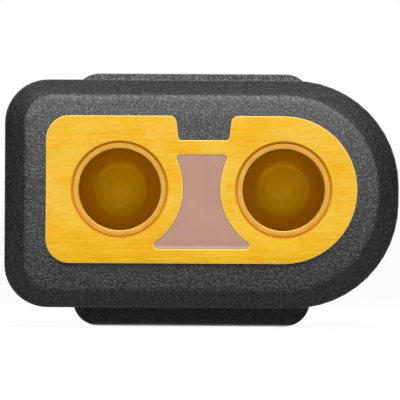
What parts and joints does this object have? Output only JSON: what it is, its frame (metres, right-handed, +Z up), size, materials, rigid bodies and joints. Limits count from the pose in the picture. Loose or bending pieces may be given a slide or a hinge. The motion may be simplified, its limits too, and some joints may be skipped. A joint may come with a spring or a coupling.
{
  "type": "car charging cable connector",
  "caption": "Device-end plug of a 12 V car charging cable: keyed D-shaped nose, insulating block, paired round sockets, two-part grip with pads and a cable bush.",
  "frame": {"origin": "on the resting plane under the lower grip pad, at the middle of the connector's length and width", "axes": "-Y out of the mating face, +Y along the cable outlet, +X towards the round end of the nose, +Z up through the keyway side"},
  "size_m": [0.024, 0.048, 0.0157],
  "materials": {
    "black_housing": "spark-eroded grain",
    "pad_plastic": "fine grain, a little softer than the housing",
    "yellow_insulator": "satin, fine horizontal streaks",
    "pink_insert": "matt",
    "gold_contact": "gold plated, turned",
    "inner_plastic": "moulded",
    "sleeve_plastic": "shrunk sleeve",
    "screw_steel": "zinc plated",
    "insert_brass": "turned",
    "bush_rubber": "matt"
  },
  "bodies": {
    "root": {"nose_shell": "black_housing", "contact_block": "yellow_insulator", "centre_insert": "pink_insert", "left_contact": "gold_contact", "right_contact": "gold_contact", "left_cup_sleeve": "sleeve_plastic", "right_cup_sleeve": "sleeve_plastic", "contact_retainer": "inner_plastic", "retainer_screws": "screw_steel", "upper_shell": "black_housing", "lower_shell": "black_housing", "upper_grip_pad": "pad_plastic", "lower_grip_pad": "pad_plastic", "threaded_inserts": "insert_brass", "shell_screws": "screw_steel", "cable_clamp": "inner_plastic", "clamp_screws": "screw_steel", "cable_bush": "bush_rubber"}
  },
  "joints": []
}
